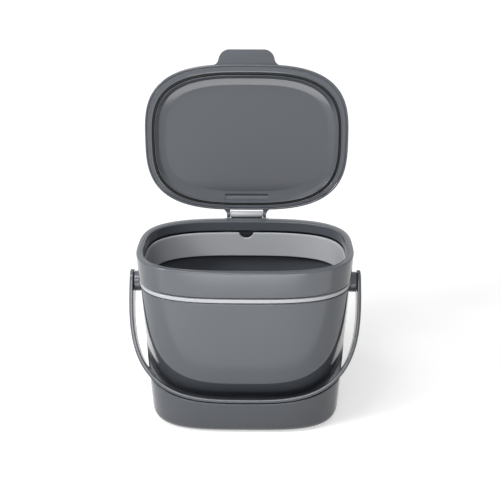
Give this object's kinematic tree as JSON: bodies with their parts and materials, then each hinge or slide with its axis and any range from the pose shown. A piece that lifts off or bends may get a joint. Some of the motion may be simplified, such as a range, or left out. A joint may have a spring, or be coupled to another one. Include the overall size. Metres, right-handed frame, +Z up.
{
  "type": "compost caddy with hinged lid",
  "caption": "Countertop compost caddy: tapered bucket, lift-off bag ring and collar, domed lid on a rear hinge, and a U-shaped bail handle that folds into a recess.",
  "frame": {"origin": "centre of the flat base", "axes": "+Z up, -Y towards the front (the lid's tab and the folded handle), +X to the right seen from above with the front towards the viewer"},
  "size_m": [0.2036, 0.1611, 0.3088],
  "materials": {
    "dark_plastic": "satin",
    "light_plastic": "satin",
    "seal_rubber": "matte",
    "pin_steel": "brushed"
  },
  "bodies": {
    "base": {"bucket": "dark_plastic", "pivot_pins": "dark_plastic"},
    "ring": {"bag_ring": "light_plastic"},
    "collar": {"collar": "dark_plastic", "hinge_barrel": "light_plastic", "hinge_pin": "pin_steel"},
    "lid": {"lid_shell": "dark_plastic", "lid_seal": "seal_rubber", "lid_liner": "dark_plastic"},
    "bail": {"bail": "dark_plastic"}
  },
  "joints": [
    {"name": "ring_lift", "type": "slide", "parent": "base", "child": "ring", "axis": [0, 0, 1], "range_m": [0, 0.006]},
    {"name": "collar_lift", "type": "slide", "parent": "ring", "child": "collar", "axis": [0, 0, 1], "range_m": [0, 0.004]},
    {"name": "lid_hinge", "type": "hinge", "parent": "collar", "child": "lid", "pos_m": [0, 0.0724, 0.156], "axis": [1, 0, 0], "range_deg": [0, 93.8]},
    {"name": "bail_hinge", "type": "hinge", "parent": "base", "child": "bail", "pos_m": [0, 0, 0.118], "axis": [-1, 0, 0], "range_deg": [0, 150.2]}
  ]
}
